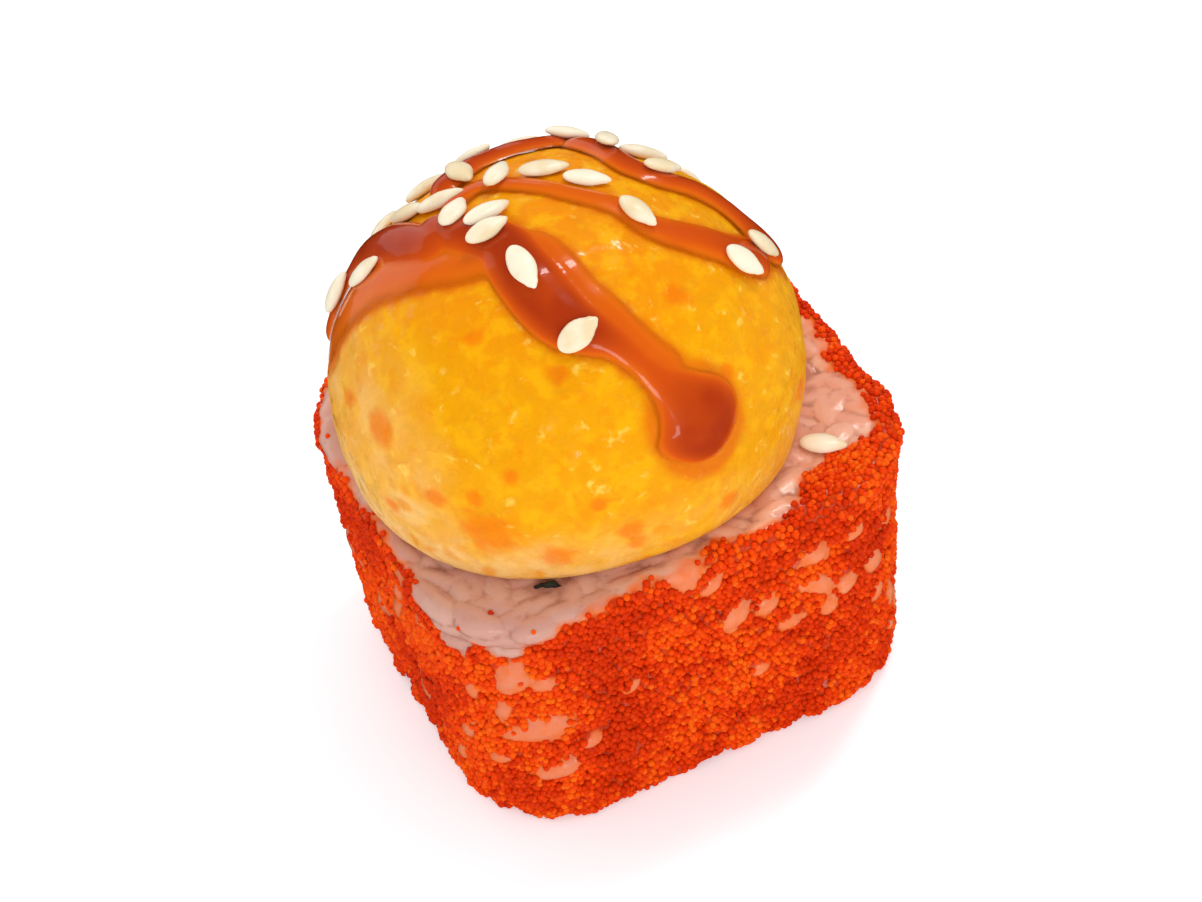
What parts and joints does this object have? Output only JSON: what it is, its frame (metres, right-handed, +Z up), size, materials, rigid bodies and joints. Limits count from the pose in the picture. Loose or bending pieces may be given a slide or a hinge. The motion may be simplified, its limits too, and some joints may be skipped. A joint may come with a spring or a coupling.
{
  "type": "baked inside-out sushi roll piece",
  "caption": "Squarish slice of inside-out rice roll coated in orange fish roe, topped with a plump dome of yellow baked sauce with brown drizzle and sesame seeds.",
  "frame": {"origin": "middle of the flat underside that the piece stands on", "axes": "+Z up; +X and +Y square to the slice's side faces, +X along its longer side; the broad drizzle streak runs down the face that looks along -Y"},
  "size_m": [0.0356, 0.0322, 0.0417],
  "materials": {
    "sushi_rice": "satin",
    "fish_roe": "gloss",
    "nori": "satin",
    "filling": "satin",
    "baked_sauce": "satin",
    "drizzle": "gloss",
    "sesame": "satin"
  },
  "bodies": {
    "root": {"rice": "sushi_rice", "roe_coat": "fish_roe", "nori": "nori", "filling": "filling", "baked_topping": "baked_sauce"}
  },
  "joints": []
}
